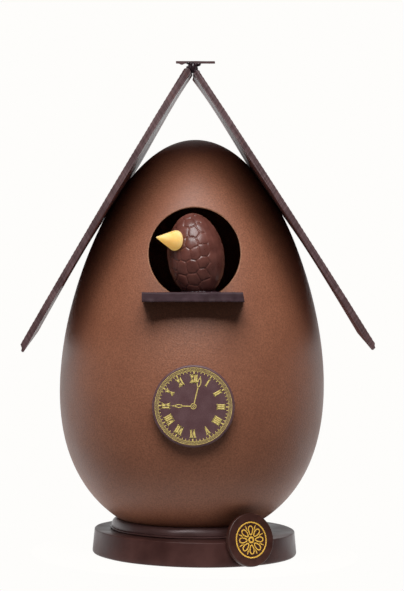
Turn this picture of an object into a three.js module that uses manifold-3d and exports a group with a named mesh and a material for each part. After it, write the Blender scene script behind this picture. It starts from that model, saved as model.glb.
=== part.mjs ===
// A chocolate Easter egg dressed as a cuckoo clock: a hollow milk-chocolate egg on a dark disc,
// with a round doorway, a crackled bird egg with a yellow beak on a perch, a dial, and a roof of
// two planks that rest on the shell. Millimetres, +Z up, front towards -Y, and the origin at the
// centre of the base's underside.

import * as THREE from 'three';
import { mergeVertices } from 'three/addons/utils/BufferGeometryUtils.js';
import Module from 'manifold-3d';

const wasm = await Module();
wasm.setup();

// ---- Driving dimensions (millimetres, degrees) ----

const gap = 0.3; // clearance between two pieces that touch
const base = { height: 15, bottomRadius: 63.6, topRadius: 62.5, bottomRound: 1.6, topRound: 0.9 };

// Everything above the base is placed in a frame on the egg's axis, with z = 0 at the base's top.
// An egg outline is r = radius * sin(a) * (1 + taper * cos(a) + fullness * cos(a)^2),
// z = middle + halfLength * cos(a), with a measured from the pointed end.
const eggAxisX = -3.45;
const egg = { radius: 79.84, halfLength: 124.44, middle: 118.23, taper: -0.24, fullness: 0.07 };
const shellWall = 4;
const seat = { footRadius: 48.9, topRadius: 44.9, height: 6.4, grooveDepth: 0.9 };
const doorway = { x: 0.3, z: 170.6, radius: 27.1 };

const ledge = { thickness: 5.65, frontY: -90.6, z: 141.7, tilt: 1.1, left: -29.3, right: 29.8, slant: 1 };
const bird = { radius: 16.6, halfLength: 24.4, middle: 22, taper: -0.055, fullness: 0 };
const birdFoot = { x: 4.2, y: -74, lean: 8.1 };
const crackle = { cells: 110, grooveDepth: 0.5, grooveHalfWidth: 0.6, dome: 0.12 };
const smoothBand = { from: 33, to: 68, fade: 6 }; // azimuths of the bird egg with no crackle
// Cells of the crackle that are set by hand on the front: azimuth, and height above the foot.
const frontCells = [
  [-7, 41.1], [-25, 35.7], [3, 35.1], [21, 31], [-7, 29], [19, 23.6], [-22, 22.8],
  [0, 22.6], [14, 16.9], [-10, 15.2], [-34, 15.1], [13, 9.9], [-12, 7.6], [-45, 7.8],
];
const beak = { length: 16.6, radius: 5.9, azimuth: -41.5, pitch: 10, height: 31.3, rimRound: 0.9 };

const dial = { x: 1.5, z: 81.6, radius: 23.8, thickness: 3, rimRound: 1, padRadius: 13 };
const medallion = { radius: 15.8, thickness: 3, rimRound: 0.6, azimuth: 31, lean: 10 };

// The planks: topZ is at the front edge, and pitch is how much they climb from there to the back.
// Lip and nick shape the lower end, twist lifts the back edge there, and swell is how much thicker
// the ridge end is at its front and back edges.
const plank = { frontY: -75, backY: 15, bow: 0.76, backBow: 2, ripplePitch: 3, rippleHeight: 0.35 };
const leftPlank = {
  side: -1, slope: 29.6, pitch: 6.2, thickness: 3.8, length: 188.3, topZ: 279.2,
  lip: 3.5, nick: 1.6, twist: 1.4, swellFront: 0.85, swellBack: 0,
};
const rightPlank = {
  side: 1, slope: 33.95, pitch: 5.2, thickness: 3.6, length: 189.6, topZ: 277.4,
  lip: 2.8, nick: 2.3, twist: 0.6, swellFront: 0, swellBack: 0.3,
};
const ridgeJoint = { frontY: -73.5, backY: -5, left: -6.3, right: 1.5, brow: 1.2 };
const ridgeCap = {
  width: 22.9, depth: 60, thickness: 1.1, x: -1.3, y: -40, z: 285.9, roll: 1.1, pitch: 7.6,
};

const milkChocolate = { color: 0x8a5b48, roughness: 0.75, metalness: 0 };
const darkChocolate = { color: 0x3c2522, roughness: 0.35, metalness: 0 };
const plankChocolate = { color: 0x4a3030, roughness: 0.6, metalness: 0 };
const birdChocolate = { color: 0x5d3328, roughness: 0.3, metalness: 0 };
const yellowChocolate = { color: 0xf3cf6c, roughness: 0.4, metalness: 0 };

// ---- Solids: closed meshes joined and cut with manifold-3d ----

const degrees = THREE.MathUtils.degToRad;

// The triangles of a geometry, with shared corners merged and slivers at a lathe's pole dropped.
function weld(geometry) {
  const bare = geometry.index ? geometry.toNonIndexed() : geometry.clone();
  bare.deleteAttribute('normal');
  bare.deleteAttribute('uv');
  const merged = mergeVertices(bare, 1e-4);
  const corners = merged.index.array;
  const kept = [];
  for (let i = 0; i < corners.length; i += 3) {
    const [a, b, c] = [corners[i], corners[i + 1], corners[i + 2]];
    if (a !== b && b !== c && c !== a) kept.push(a, b, c);
  }
  return { points: merged.attributes.position.array, corners: kept };
}

// Six times the enclosed volume, which is negative when the faces point inwards.
function signedVolume({ points, corners }) {
  const at = (i) => new THREE.Vector3().fromArray(points, 3 * i);
  let sum = 0;
  for (let i = 0; i < corners.length; i += 3) {
    sum += at(corners[i]).dot(at(corners[i + 1]).cross(at(corners[i + 2])));
  }
  return sum;
}

function solid(geometry) {
  const shape = weld(geometry);
  if (signedVolume(shape) < 0) shape.corners.reverse();
  const mesh = new wasm.Mesh({
    numProp: 3,
    vertProperties: new Float32Array(shape.points),
    triVerts: new Uint32Array(shape.corners),
  });
  return new wasm.Manifold(mesh);
}

function piece(name, manifold, look) {
  const mesh = manifold.getMesh();
  const geometry = new THREE.BufferGeometry();
  geometry.setAttribute('position', new THREE.Float32BufferAttribute(mesh.vertProperties, 3));
  geometry.setIndex(Array.from(mesh.triVerts));
  geometry.computeVertexNormals();
  const result = new THREE.Mesh(geometry, new THREE.MeshStandardMaterial(look));
  result.name = name;
  return result;
}

// A profile of [radius, height] pairs turned about the Z axis.
function turned(profile, segments) {
  const points = profile.map(([r, z]) => new THREE.Vector2(Math.max(r, 0), z));
  return new THREE.LatheGeometry(points, segments).rotateX(Math.PI / 2);
}

// An outline of [x, z] pairs run along Y, centred on y = 0.
function runAlongY(outline, depth) {
  const shape = new THREE.Shape(outline.map(([x, z]) => new THREE.Vector2(x, z)));
  const options = { depth, bevelEnabled: false };
  return new THREE.ExtrudeGeometry(shape, options).rotateX(Math.PI / 2).translate(0, depth / 2, 0);
}

function slab(low, high) {
  const size = high.map((value, i) => value - low[i]);
  const middle = high.map((value, i) => (value + low[i]) / 2);
  return new THREE.BoxGeometry(...size).translate(...middle);
}

// A quarter circle of [radius, height] pairs about a centre, between two angles in degrees.
function roundCorner(r, z, size, from, to, steps) {
  return Array.from({ length: steps + 1 }, (_, i) => {
    const angle = degrees(from + ((to - from) * i) / steps);
    return [r + size * Math.cos(angle), z + size * Math.sin(angle)];
  });
}

// ---- Egg outlines ----

function eggPoint(shape, angle) {
  const c = Math.cos(angle);
  const swell = 1 + shape.taper * c + shape.fullness * c * c;
  return [shape.radius * Math.sin(angle) * swell, shape.middle + shape.halfLength * c];
}

// The point of the outline moved outwards along its normal.
function eggSkin(shape, angle, offset) {
  const step = 1e-4;
  const [r0, z0] = eggPoint(shape, angle - step);
  const [r1, z1] = eggPoint(shape, angle + step);
  const [r, z] = eggPoint(shape, angle);
  const length = Math.hypot(r1 - r0, z1 - z0);
  return [r + (offset * (z0 - z1)) / length, z + (offset * (r1 - r0)) / length];
}

function eggTurned(shape, offset, rows, segments) {
  const profile = Array.from({ length: rows + 1 }, (_, i) => {
    const [r, z] = eggSkin(shape, (Math.PI * i) / rows, offset);
    return [i % rows === 0 ? 0 : r, z];
  });
  return turned(profile, segments);
}

const shellRows = 26;
const shellSegments = 56;
const eggEnvelope = solid(eggTurned(egg, gap, shellRows, shellSegments)); // room for the shell
const far = 200; // larger than half the object

// ---- Base, seat and shell ----

function baseDisc() {
  const { height, bottomRadius, topRadius, bottomRound, topRound } = base;
  const profile = [
    [0, 0],
    ...roundCorner(bottomRadius - bottomRound, bottomRound, bottomRound, -90, 0, 3),
    ...roundCorner(topRadius - topRound, height - topRound, topRound, 0, 90, 3),
    [0, height],
  ];
  return piece('base_disc', solid(turned(profile, shellSegments)), darkChocolate);
}

// The low ring of chocolate that the egg is set in: a small foot, a groove and a round shoulder.
function seatRing() {
  const { footRadius, topRadius, height, grooveDepth } = seat;
  const grooveTop = 1.6;
  const shoulder = height - grooveTop;
  const profile = [
    [egg.radius * 0.4, gap],
    [footRadius, gap],
    [footRadius, gap + 0.5],
    [footRadius - grooveDepth, gap + 0.9],
  ];
  const steps = 5;
  for (let i = 0; i <= steps; i += 1) {
    const turn = (Math.PI / 2) * (i / steps);
    const inwards = (footRadius - 0.5 - topRadius) * (1 - Math.cos(turn));
    profile.push([footRadius - 0.5 - inwards, grooveTop + shoulder * Math.sin(turn)]);
  }
  profile.push([egg.radius * 0.4, height], [egg.radius * 0.4, gap]);
  const ring = solid(turned(profile, shellSegments)).subtract(eggEnvelope);
  return piece('seat_ring', ring, darkChocolate);
}

// The hollow egg stands on a flat melted into its round end, and its doorway goes through the
// front wall only.
function eggShell() {
  const outside = solid(eggTurned(egg, 0, shellRows, shellSegments));
  const inside = solid(eggTurned(egg, -shellWall, 16, 40));
  const below = solid(slab([-far, -far, -far], [far, far, gap]));
  const floor = solid(slab([-far, -far, -far], [far, far, gap + shellWall]));
  const tunnel = solid(doorwayTunnel());
  const hollow = inside.subtract(floor);
  return piece('egg_shell', outside.subtract(below).subtract(hollow).subtract(tunnel), milkChocolate);
}

function doorwayTunnel() {
  const length = egg.radius * 1.5;
  const tunnel = new THREE.CylinderGeometry(doorway.radius, doorway.radius, length, 56);
  return tunnel.translate(doorway.x, -length / 2, doorway.z);
}

// ---- Perch, bird egg and beak ----

// Places a solid made in the perch's own frame, which leans with the perch.
function onLedge(geometry) {
  return geometry.rotateY(-degrees(ledge.tilt)).translate(0, 0, ledge.z);
}

// A bar run into the shell's front, with its right end cut at a slant.
function perchLedge() {
  const { thickness, frontY, left, right, slant } = ledge;
  const outline = [[left, 0], [right, 0], [right - slant, thickness], [left, thickness]];
  const depth = -frontY / 2;
  const bar = runAlongY(outline, depth).translate(0, frontY + depth / 2, 0);
  return piece('perch_ledge', solid(onLedge(bar)).subtract(eggEnvelope), plankChocolate);
}

// A repeatable number from 0 to 1 for each index and channel.
function scatter(index, channel) {
  const wave = Math.sin(index * 12.9898 + channel * 78.233) * 43758.5453;
  return wave - Math.floor(wave);
}

// The point of the bird egg's outline on the ray from its middle to a point.
function ontoBird(point) {
  const across = Math.hypot(point.x, point.y) / bird.radius;
  const angle = Math.atan2(across, (point.z - bird.middle) / bird.halfLength);
  return onBird(angle, Math.atan2(point.y, point.x), 0);
}

// The crackle's cell centres: the ones set by hand, and a golden-angle spiral with some scatter
// for the rest, which are then pushed apart from their neighbours.
function crackleSeeds() {
  const fixed = frontCells.map(([azimuth, height]) => {
    const angle = Math.acos((height - bird.middle) / bird.halfLength);
    return onBird(angle, degrees(azimuth - 90), 0);
  });
  const goldenAngle = Math.PI * (3 - Math.sqrt(5));
  const skinArea = 11.3 * bird.radius * bird.halfLength; // near enough for this outline
  const spacing = Math.sqrt((1.15 * skinArea) / crackle.cells);
  const free = [];
  for (let i = 0; i < crackle.cells; i += 1) {
    const angle = Math.acos(1 - (2 * i + 1) / crackle.cells);
    const seed = onBird(angle, goldenAngle * i, 0);
    seed.x += spacing * 0.8 * (scatter(i, 1) - 0.5);
    seed.y += spacing * 0.8 * (scatter(i, 2) - 0.5);
    seed.z += spacing * 0.8 * (scatter(i, 3) - 0.5);
    const moved = ontoBird(seed);
    if (fixed.every((other) => other.distanceTo(moved) > spacing * 0.67)) free.push(moved);
  }
  const rounds = 12;
  const reach = spacing * 1.23;
  for (let round = 0; round < rounds; round += 1) {
    const all = fixed.concat(free);
    free.forEach((seed, i) => {
      const push = new THREE.Vector3();
      all.forEach((other) => {
        const apart = seed.distanceTo(other);
        if (apart === 0 || apart > reach) return;
        push.addScaledVector(seed.clone().sub(other), (0.3 * (reach - apart)) / apart);
      });
      free[i] = ontoBird(seed.clone().add(push));
    });
  }
  return fixed.concat(free);
}

function onBird(angle, turn, offset) {
  const [r, z] = eggSkin(bird, angle, offset);
  return new THREE.Vector3(r * Math.cos(turn), r * Math.sin(turn), z);
}

// The same point pushed in or out along the bird egg's normal.
function relief(point, offset) {
  const c = THREE.MathUtils.clamp((point.z - bird.middle) / bird.halfLength, -1, 1);
  return onBird(Math.acos(c), Math.atan2(point.y, point.x), offset);
}

// The surface point equally far from three cell centres, or null where another one is nearer.
function meetingPoint(a, b, c, seeds) {
  const circle = new THREE.Vector3();
  const edgeB = b.clone().sub(a);
  const edgeC = c.clone().sub(a);
  const normal = edgeB.clone().cross(edgeC);
  const scale = 1 / (2 * normal.lengthSq());
  circle.addScaledVector(normal.clone().cross(edgeB), edgeC.lengthSq() * scale);
  circle.addScaledVector(edgeC.clone().cross(normal), edgeB.lengthSq() * scale).add(a);
  normal.normalize();
  if (normal.dot(circle.clone().sub(new THREE.Vector3(0, 0, bird.middle))) < 0) normal.negate();
  let low = 0;
  let high = bird.radius / 2;
  for (let i = 0; i < 40; i += 1) {
    const middle = (low + high) / 2;
    const p = circle.clone().addScaledVector(normal, middle);
    const cosine = (p.z - bird.middle) / bird.halfLength;
    const inside = Math.abs(cosine) < 1 && Math.hypot(p.x, p.y) < eggPoint(bird, Math.acos(cosine))[0];
    if (inside) low = middle;
    else high = middle;
  }
  const point = circle.addScaledVector(normal, low);
  const reach = point.distanceTo(a) - 1e-6;
  return seeds.some((seed) => seed.distanceTo(point) < reach) ? null : point;
}

// How deep the crackle is at a point: full depth, fading to none in the smooth band.
function crackleDepth(point) {
  const azimuth = THREE.MathUtils.radToDeg(Math.atan2(point.x, -point.y));
  const outside = Math.max(smoothBand.from - azimuth, azimuth - smoothBand.to);
  return THREE.MathUtils.clamp(outside / smoothBand.fade, 0, 1);
}

// Each cell is a low dome with a groove around it; neighbours share the groove's corners.
function crackledEgg() {
  const seeds = crackleSeeds();
  const cells = seeds.map(() => []);
  const corners = [];
  const nearCount = 14;
  seeds.forEach((seed, i) => {
    const order = seeds.map((other, j) => [other.distanceTo(seed), j]).sort((a, b) => a[0] - b[0]);
    const near = order.slice(1, nearCount + 1).map((entry) => entry[1]).filter((j) => j > i);
    near.forEach((j) => near.filter((k) => k > j).forEach((k) => {
      const point = meetingPoint(seed, seeds[j], seeds[k], seeds);
      if (!point) return;
      [i, j, k].forEach((cell) => cells[cell].push(corners.length));
      corners.push(point);
    }));
  });
  const points = corners.map((p) => relief(p, -crackle.grooveDepth * crackleDepth(p)));
  const triangles = [];
  cells.forEach((cell, i) => {
    const seed = seeds[i];
    const normal = relief(seed, 1).sub(seed);
    const across = corners[cell[0]].clone().sub(seed).cross(normal).normalize();
    const along = normal.clone().cross(across);
    const bearing = (corner) => {
      const spoke = corners[corner].clone().sub(seed);
      return Math.atan2(spoke.dot(across), spoke.dot(along));
    };
    const ring = cell.slice().sort((a, b) => bearing(a) - bearing(b));
    const rim = ring.map((corner) => {
      const spoke = corners[corner].clone().sub(seed);
      const share = 1 - crackle.grooveHalfWidth / spoke.length();
      points.push(relief(seed.clone().addScaledVector(spoke, share), 0));
      return points.length - 1;
    });
    const crown = points.push(relief(seed, crackle.dome * crackleDepth(seed))) - 1;
    ring.forEach((corner, n) => {
      const next = (n + 1) % ring.length;
      triangles.push(corner, ring[next], rim[next], corner, rim[next], rim[n]);
      triangles.push(rim[n], rim[next], crown);
    });
  });
  const geometry = new THREE.BufferGeometry().setFromPoints(points);
  geometry.setIndex(triangles);
  return geometry;
}

// Places a solid made in the bird egg's own frame, whose origin is its foot.
function onBirdFoot(geometry) {
  const height = ledge.z + ledge.thickness;
  return geometry.rotateY(-degrees(birdFoot.lean)).translate(birdFoot.x, birdFoot.y, height);
}

function birdEgg() {
  const top = ledge.thickness + gap;
  const under = solid(onLedge(slab([-far, -far, -far], [far, far, top])));
  return piece('bird_egg', solid(onBirdFoot(crackledEgg())).subtract(under), birdChocolate);
}

// A cone with a round rim, on a small pad that follows the bird egg.
function beakCone() {
  const { length, radius, azimuth, pitch, height, rimRound } = beak;
  const padRadius = radius * 0.6;
  const padDepth = 3;
  const flare = Math.atan2(radius, length);
  const profile = [
    [0, -padDepth],
    [padRadius, -padDepth],
    [padRadius, 0],
    ...roundCorner(radius - rimRound, rimRound, rimRound, -90, THREE.MathUtils.radToDeg(flare), 4),
    [0.5, length - 0.3],
    [0, length],
  ];
  const cone = turned(profile, 28);
  const cosine = (height - bird.middle) / bird.halfLength;
  const distance = eggPoint(bird, Math.acos(cosine))[0] + gap;
  cone.rotateX(Math.PI / 2 - degrees(pitch)).translate(0, -distance, height);
  cone.rotateZ(degrees(azimuth));
  const birdRoom = solid(onBirdFoot(eggTurned(bird, gap + 2 * crackle.dome, 24, 40)));
  return piece('beak', solid(onBirdFoot(cone)).subtract(birdRoom), yellowChocolate);
}

// ---- Dial and medallion: moulded discs, thickness along +Z, face on top ----

function disc({ radius, thickness, rimRound }) {
  return [
    [0, 0],
    [radius - 0.3, 0],
    [radius, 0.3],
    ...roundCorner(radius - rimRound, thickness - rimRound, rimRound, 0, 90, 3),
    [0, thickness],
  ];
}

// The dial stands on the front of the shell, on a pad of chocolate that follows the shell.
function clockDial() {
  const padDepth = 3;
  const pad = [[0, -padDepth], [dial.padRadius, -padDepth], [dial.padRadius, 0]];
  const cosine = (dial.z - egg.middle) / egg.halfLength;
  const frontOfShell = eggPoint(egg, Math.acos(cosine))[0] + gap;
  const body = turned([...pad, ...disc(dial).slice(1)], 48);
  body.rotateX(Math.PI / 2).translate(dial.x, -frontOfShell, dial.z);
  return piece('clock_dial', solid(body).subtract(eggEnvelope), darkChocolate);
}

// The medallion stands on its edge and leans back against the base's upper rim.
function leaningMedallion() {
  const { radius, thickness, azimuth, lean } = medallion;
  const tip = degrees(lean);
  const floorGap = 0.1;
  const centreZ = radius * Math.cos(tip) + (thickness / 2) * Math.sin(tip) + floorGap;
  const rimZ = base.height - base.topRound / 2;
  const rimDistance = base.topRadius + gap;
  const push = (thickness / 2 + (rimZ - centreZ) * Math.sin(tip)) / Math.cos(tip);
  const body = turned(disc(medallion), 44).translate(0, 0, -thickness / 2);
  body.rotateX(Math.PI / 2 - tip).translate(0, -(rimDistance + push), centreZ);
  body.rotateZ(degrees(azimuth));
  return piece('medallion', solid(body), darkChocolate);
}

// ---- Roof ----

// A point of a plank: s down its length from the ridge end, t out from its underside, y along its
// depth. The underside's plane touches the shell, and both of the plank's ends curl in from it.
function onPlank(side, s, t, y) {
  const slope = degrees(side.slope);
  const climb = Math.tan(degrees(side.pitch));
  const flat = Math.hypot(Math.cos(slope), climb * Math.sin(slope));
  let reach = 0;
  for (let i = 0; i <= 400; i += 1) {
    const [r, z] = eggPoint(egg, (Math.PI * i) / 400);
    reach = Math.max(reach, r * flat + z * Math.sin(slope));
  }
  const across = (y - plank.frontY) / (plank.backY - plank.frontY);
  const fromMiddle = (2 * s) / side.length - 1;
  const bow = plank.bow + (plank.backBow - plank.bow) * across;
  const rise = side.twist * Math.max(fromMiddle, 0) * across;
  const out = reach + gap + t - bow * fromMiddle * fromMiddle + rise;
  const outerReach = reach + gap + side.thickness;
  const topAtAxis = side.topZ - climb * plank.frontY;
  const along = (topAtAxis - outerReach * Math.sin(slope)) / Math.cos(slope) - s;
  const x = out * Math.cos(slope) - along * Math.sin(slope);
  return [side.side * x, out * Math.sin(slope) + along * Math.cos(slope) + climb * y];
}

// A solid between an outline of [x, z] pairs at frontY and one at backY.
function loftAlongY(front, frontY, back, backY) {
  const count = front.length;
  const at = (y) => ([x, z]) => new THREE.Vector3(x, y, z);
  const points = [...front.map(at(frontY)), ...back.map(at(backY))];
  const contour = front.map(([x, z]) => new THREE.Vector2(x, z));
  const turn = THREE.ShapeUtils.isClockWise(contour) ? -1 : 1;
  const triangles = [];
  THREE.ShapeUtils.triangulateShape(contour, []).forEach(([a, b, c]) => {
    triangles.push(a, b, c, a + count, c + count, b + count);
  });
  for (let i = 0; i < count; i += 1) {
    const j = (i + 1) % count;
    const [a, b] = turn > 0 ? [i, j] : [j, i];
    triangles.push(b, a, a + count, b, a + count, b + count);
  }
  return new THREE.BufferGeometry().setFromPoints(points).setIndex(triangles);
}

// A plank's side view: a smooth underside, a slanted lower end with a nick, and a rippled face.
function roofPanel(name, side) {
  const { frontY, backY, ripplePitch, rippleHeight } = plank;
  const swellLength = 57;
  const { length, thickness, lip, nick } = side;
  const outline = [];
  const underSteps = 14;
  const cornerRound = 0.6;
  for (let i = 0; i <= underSteps; i += 1) {
    outline.push([(i / underSteps) * (length + lip - cornerRound), 0]);
  }
  outline.push([length + lip, cornerRound], [length + lip * 0.83, nick + 0.1]);
  outline.push([length + lip * 0.42, nick], [length, thickness]);
  const ripples = Math.floor(length / ripplePitch);
  for (let i = ripples; i > 0; i -= 1) {
    outline.push([(i - 0.5) * ripplePitch, thickness - rippleHeight], [(i - 1) * ripplePitch, thickness]);
  }
  const edge = (y, swell) => outline.map(([s, t]) => {
    const nearRidge = t === 0 ? Math.max(1 - s / swellLength, 0) : 0;
    return onPlank(side, s, t - swell * nearRidge * nearRidge, y);
  });
  const front = edge(frontY, side.swellFront);
  const body = loftAlongY(front, frontY, edge(backY, side.swellBack), backY);
  return piece(name, solid(body), plankChocolate);
}

// Places a solid made in the cap's own frame, which is pitched forwards and rolled a little.
function onCap(geometry) {
  const { x, y, z, roll, pitch } = ridgeCap;
  return geometry.rotateX(degrees(pitch)).rotateY(-degrees(roll)).translate(x, y, z);
}

// Melted chocolate between the planks' ends, which carries the cap on its sloping top.
function ridgeJointBlob() {
  const { frontY, backY, left, right, brow } = ridgeJoint;
  const section = (y) => {
    const cornerLeft = onPlank(leftPlank, -gap, leftPlank.thickness, y);
    const cornerRight = onPlank(rightPlank, -gap, rightPlank.thickness, y);
    const topZ = ridgeCap.z + (y - ridgeCap.y) * Math.tan(degrees(ridgeCap.pitch)) + 2 * brow;
    return [
      [left + brow, topZ],
      [left, cornerLeft[1] + brow],
      cornerLeft,
      onPlank(leftPlank, -2 * gap, -leftPlank.swellFront, y),
      onPlank(rightPlank, -gap, -rightPlank.swellBack, y),
      cornerRight,
      [right, cornerRight[1] + 2 * brow],
      [right - brow, topZ],
    ];
  };
  const above = slab([-far, -far, -ridgeCap.thickness / 2 - gap], [far, far, far]);
  const blob = solid(loftAlongY(section(frontY), frontY, section(backY), backY));
  return piece('ridge_joint', blob.subtract(solid(onCap(above))), darkChocolate);
}

function ridgeCapPlate() {
  const half = [ridgeCap.width / 2, ridgeCap.depth / 2, ridgeCap.thickness / 2];
  const plate = slab(half.map((value) => -value), half);
  return piece('ridge_cap', solid(onCap(plate)), plankChocolate);
}

// ---- The object ----

const clock = new THREE.Group();
clock.position.set(eggAxisX, 0, base.height);
clock.add(seatRing(), eggShell(), perchLedge(), birdEgg(), beakCone(), clockDial());
clock.add(roofPanel('roof_panel_left', leftPlank), roofPanel('roof_panel_right', rightPlank));
clock.add(ridgeJointBlob(), ridgeCapPlate());

const group = new THREE.Group();
group.add(baseDisc(), leaningMedallion(), clock);

export default group;
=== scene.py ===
# The looks of a chocolate egg dressed as a cuckoo clock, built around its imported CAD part.
# Sizes are in millimetres, angles in degrees, +Z up and the front towards -Y. Points are turned
# into metres where a piece is made.

import itertools
import math
from types import SimpleNamespace as Sizes

import bmesh
import bpy
import numpy as np
from mathutils import Matrix, Vector


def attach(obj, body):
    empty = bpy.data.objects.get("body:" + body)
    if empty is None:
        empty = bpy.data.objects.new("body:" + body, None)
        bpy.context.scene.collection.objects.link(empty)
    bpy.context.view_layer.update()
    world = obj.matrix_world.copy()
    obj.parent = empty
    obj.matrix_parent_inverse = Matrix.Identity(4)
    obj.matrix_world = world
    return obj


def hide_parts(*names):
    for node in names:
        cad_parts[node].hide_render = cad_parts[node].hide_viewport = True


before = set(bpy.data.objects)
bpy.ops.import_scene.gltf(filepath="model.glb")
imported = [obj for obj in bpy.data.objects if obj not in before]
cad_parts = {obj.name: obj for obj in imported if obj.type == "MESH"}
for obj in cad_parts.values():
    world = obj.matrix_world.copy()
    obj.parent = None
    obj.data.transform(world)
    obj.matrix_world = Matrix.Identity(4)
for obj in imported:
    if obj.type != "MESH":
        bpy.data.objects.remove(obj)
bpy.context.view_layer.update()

MM = 0.001
TAU = 2 * math.pi

# ---- Driving dimensions, the same as the CAD part's ----

GAP = 0.3
BASE = Sizes(height=15, bottom=63.6, top=62.5, bottom_round=1.6, top_round=0.9)
AXIS = np.array([-3.45, 0, BASE.height])  # the egg's axis, at the base's top

EGG = Sizes(radius=79.84, half=124.44, middle=118.23, taper=-0.24, fullness=0.07)
SHELL_WALL = 4
SEAT = Sizes(foot=48.9, top=44.9, height=6.4, groove=0.9)
DOORWAY = Sizes(x=0.3, z=170.6, radius=27.1, edge=0.75)

LEDGE = Sizes(
    thickness=5.65, front=-90.6, z=141.7, tilt=1.1, left=-29.3, right=29.8, slant=1,
    ragged=0.15, uneven=0.12,
)
BIRD = Sizes(radius=16.6, half=24.4, middle=22, taper=-0.055, fullness=0)
BIRD_FOOT = Sizes(x=4.2, y=-74, lean=8.1)
BEAK = Sizes(length=16.6, radius=5.9, azimuth=-41.5, pitch=10, height=31.3, rim=0.9)
FOOT_SPOTS = Sizes(count=26, step=13.8, reach=9.3)

CRACKLE = Sizes(
    cells=110, depth=0.42, half_width=0.34, dome=0.1, wander=0.28, lumps=0.05,
)
# A band without crackle, between two azimuths, with raised lines at an azimuth and of a width.
SMOOTH_BAND = Sizes(start=33, end=68, fade=6, line_height=0.13, lines=[(45, 2.2), (30, 2)])
# Cells of the crackle that are listed one by one on the front: azimuth, and height above the foot.
FRONT_CELLS = [
    (-7, 41.1), (-25, 35.7), (3, 35.1), (21, 31), (-7, 29), (19, 23.6), (-22, 22.8),
    (0, 22.6), (14, 16.9), (-10, 15.2), (-34, 15.1), (13, 9.9), (-12, 7.6), (-45, 7.8),
]

DIAL = Sizes(x=1.5, z=81.6, radius=23.8, thickness=3, rim=1, pad=13)
NUMERALS = Sizes(inner=13.4, outer=18.4, thick=0.17, thin=0.11, serif=0.11)
# The minute track: its ring, and where the ticks of the minutes and of the hours start.
TRACK = Sizes(inner=20.2, outer=22.35, minute=19.15, hour=18.75)
HOUR_HAND = Sizes(angle=270, length=12.5, leaf_start=6.1, leaf_end=11, leaf_width=1.7)
MINUTE_HAND = Sizes(
    angle=12.5, length=17.9, leaf_start=11.2, leaf_end=17, leaf_width=1.9,
)
MEDALLION = Sizes(radius=15.8, thickness=3, rim=0.6, azimuth=31, lean=10)
GOLD = Sizes(height=0.12, shoulder=0.072, sink=0.15)

PLANK = Sizes(
    front=-75, back=15, bow=0.76, back_bow=2, ripple_pitch=3, ripple_height=0.14,
    sag_length=33, swell_length=57,
)
LEFT_PLANK = Sizes(
    side=-1, slope=29.6, pitch=6.2, thickness=3.8, length=188.3, top_z=279.2, top_round=1.6,
    lip=3.5, nick=1.6, twist=1.4, swell_front=0.85, swell_back=0, sag=2, sag_middle=70,
    dull_at=205, glossy_at=250, low_gloss=0.012,
)
RIGHT_PLANK = Sizes(
    side=1, slope=33.95, pitch=5.2, thickness=3.6, length=189.6, top_z=277.4, top_round=0.3,
    lip=2.8, nick=2.3, twist=0.6, swell_front=0, swell_back=0.3, sag=2.3, sag_middle=71,
    dull_at=240, glossy_at=300, low_gloss=0,
)
RIDGE_JOINT = Sizes(front=-73.5, back=-5, left=-6.3, right=1.5)
RIDGE_CAP = Sizes(
    width=22.9, depth=60, thickness=1.1, x=-1.3, y=-40, z=285.9, roll=1.1, pitch=7.6,
)


# ---- Points and noise ----


def turn(axis, angle):
    """The matrix that turns points by an angle in degrees about the X, Y or Z axis."""
    c, s = math.cos(math.radians(angle)), math.sin(math.radians(angle))
    if axis == "X":
        return np.array([[1, 0, 0], [0, c, -s], [0, s, c]])
    if axis == "Y":
        return np.array([[c, 0, s], [0, 1, 0], [-s, 0, c]])
    return np.array([[c, -s, 0], [s, c, 0], [0, 0, 1]])


def placed(points, matrix, shift=(0, 0, 0)):
    return np.asarray(points, float) @ matrix.T + np.asarray(shift, float)


def noise(points, size, seed):
    """Values from -1 to 1 that change smoothly over about `size` millimetres."""
    scaled = np.asarray(points, float) / size
    cell = np.floor(scaled).astype(np.int64)
    share = scaled - cell
    share = share * share * (3 - 2 * share)
    total = np.zeros(len(scaled))
    for corner in itertools.product((0, 1), repeat=3):
        lattice = cell + corner
        wave = np.sin(lattice @ np.array([12.9898, 78.233, 37.719]) + seed * 4.137) * 43758.5453
        weight = np.prod(np.where(corner, share, 1 - share), axis=1)
        total += weight * (2 * (wave - np.floor(wave)) - 1)
    return total


def scatter(index, channel):
    """A repeatable number from 0 to 1 for each index and channel."""
    wave = math.sin(index * 12.9898 + channel * 78.233) * 43758.5453
    return wave - math.floor(wave)


def ramp(value, start, end):
    """0 before start, 1 after end, and a smooth rise between them."""
    share = np.clip((np.asarray(value, float) - start) / (end - start), 0, 1)
    return share * share * (3 - 2 * share)


# ---- Egg outlines ----


def egg_point(shape, angle):
    """Radius and height of an egg's outline, at an angle in radians from its pointed end."""
    c = np.cos(angle)
    swell = 1 + shape.taper * c + shape.fullness * c * c
    return shape.radius * np.sin(angle) * swell, shape.middle + shape.half * c


def egg_skin(shape, angle, offset):
    """The outline moved outwards along its normal."""
    step = 1e-4
    r0, z0 = egg_point(shape, angle - step)
    r1, z1 = egg_point(shape, angle + step)
    r, z = egg_point(shape, angle)
    length = np.hypot(r1 - r0, z1 - z0)
    return r + offset * (z0 - z1) / length, z + offset * (r1 - r0) / length


def egg_radius(shape, z):
    """The outline's radius at a height."""
    cosine = np.clip((np.asarray(z, float) - shape.middle) / shape.half, -1, 1)
    return egg_point(shape, np.arccos(cosine))[0]


def shell_front(x, z):
    """Where the shell's front surface is, for x and z in the egg's frame."""
    r = egg_radius(EGG, z)
    return -np.sqrt(np.maximum(r * r - np.asarray(x, float) ** 2, 0))


# ---- Meshes ----


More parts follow.
